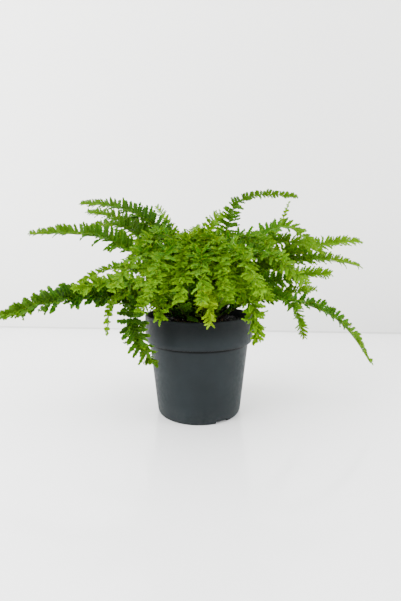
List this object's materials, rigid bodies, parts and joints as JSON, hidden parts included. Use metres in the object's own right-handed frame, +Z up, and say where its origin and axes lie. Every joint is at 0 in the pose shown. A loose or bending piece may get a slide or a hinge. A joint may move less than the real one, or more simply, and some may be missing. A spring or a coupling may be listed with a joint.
{
  "type": "potted fern",
  "caption": "Bushy potted fern with arching, leaflet-lined fronds spreading over the rim of a tapered grower pot with a raised collar.",
  "frame": {"origin": "on the ground plane under the middle of the whole plant's bounding box, which is also the pot's axis to within 2 mm", "axes": "+Z up; -Y is the front, the side with the pale frond over the rim; +X to the right seen from the front, the direction of the longest spread"},
  "size_m": [0.4007, 0.2597, 0.2521],
  "materials": {
    "pot_plastic": "satin",
    "peat_mix": "rough, damp",
    "crown_scales": "rough",
    "frond_lime": "satin",
    "frond_green": "satin"
  },
  "bodies": {
    "root": {"pot": "pot_plastic", "potting_mix": "peat_mix", "rhizome_crown": "crown_scales", "frond_far_left_low": "frond_green", "frond_left_small_drop": "frond_lime", "frond_left_front_drop": "frond_green", "frond_left_rim": "frond_lime", "frond_front_lime": "frond_lime", "frond_right_front_drop": "frond_lime", "frond_right_hang": "frond_lime", "frond_right_low": "frond_lime", "frond_right_long": "frond_lime", "frond_back_right_low": "frond_green", "frond_back_low_right": "frond_green", "frond_back_low": "frond_green", "frond_back_low_left": "frond_green", "frond_back_left_low": "frond_green", "frond_left_broad": "frond_lime", "frond_left_thin": "frond_lime", "frond_left_mid": "frond_lime", "frond_tall": "frond_green", "frond_right_hump": "frond_lime", "frond_right_mid": "frond_lime", "frond_right_mid_far": "frond_lime", "frond_front_left_mid": "frond_lime", "frond_front_mid_left": "frond_lime", "frond_front_mid": "frond_lime", "frond_front_mid_right": "frond_lime", "frond_front_right_mid": "frond_lime", "frond_back_mid_right": "frond_lime", "frond_back_mid_a": "frond_lime", "frond_back_mid_b": "frond_green", "frond_back_mid_left": "frond_lime", "frond_front_low_left": "frond_lime", "frond_front_low_right": "frond_lime", "frond_left_long": "frond_green", "frond_left_back": "frond_green", "frond_left_fill": "frond_green", "frond_right_high": "frond_lime", "frond_right_fill": "frond_lime", "frond_top_back_right": "frond_green", "frond_front_high_left": "frond_lime", "frond_front_high_a": "frond_lime", "frond_front_high_b": "frond_lime", "frond_front_high_right": "frond_lime", "frond_front_inner_left": "frond_lime", "frond_front_inner_right": "frond_lime", "frond_back_high": "frond_lime", "frond_top_saddle": "frond_lime", "frond_top_left_thin": "frond_lime", "frond_left_top": "frond_green", "frond_tall_thin": "frond_lime", "frond_top_broad": "frond_lime", "frond_front_top": "frond_lime"}
  },
  "joints": []
}
